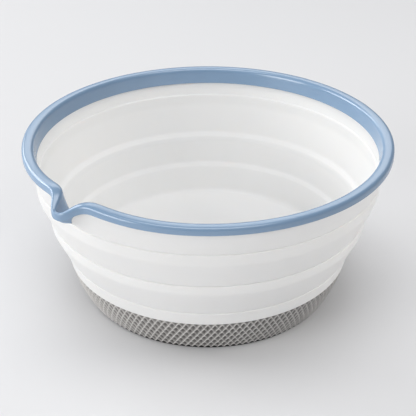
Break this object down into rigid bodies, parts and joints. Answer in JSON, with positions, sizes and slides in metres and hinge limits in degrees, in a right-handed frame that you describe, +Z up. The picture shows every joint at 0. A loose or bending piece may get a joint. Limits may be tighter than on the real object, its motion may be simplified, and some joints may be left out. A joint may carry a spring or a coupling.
{
  "type": "collapsible bowl",
  "caption": "Collapsible brush cleaning bowl: stiff rim with a pouring lip, soft white wall that folds down tier by tier, and a knurled grip boot around a ribbed base plate",
  "frame": {"origin": "on the bowl's axis, on the flat underside of the boot's sole", "axes": "+Z up along the axis, -Y from the axis towards the pouring lip"},
  "size_m": [0.15, 0.1558, 0.0697],
  "materials": {
    "boot_rubber": "matte grey rubber with a knurled net of fine raised ridges",
    "plate_plastic": "plain off-white moulded plastic, hidden inside the base",
    "wall_silicone": "satin, slightly translucent white silicone",
    "rim_plastic": "satin powder-blue moulded plastic"
  },
  "bodies": {
    "base": {"grip_boot": "boot_rubber", "base_plate": "plate_plastic", "base_cup": "wall_silicone", "lower_fold": "wall_silicone"},
    "middle": {"middle_band": "wall_silicone", "upper_fold": "wall_silicone"},
    "upper": {"upper_wall": "wall_silicone", "rim": "rim_plastic"}
  },
  "joints": [
    {"name": "lower_collapse", "type": "slide", "parent": "base", "child": "middle", "axis": [0, 0, 1], "range_m": [-0.0244, 0], "deforming": ["lower_fold"]},
    {"name": "upper_collapse", "type": "slide", "parent": "middle", "child": "upper", "axis": [0, 0, 1], "range_m": [-0.0232, 0], "deforming": ["upper_fold"]}
  ]
}
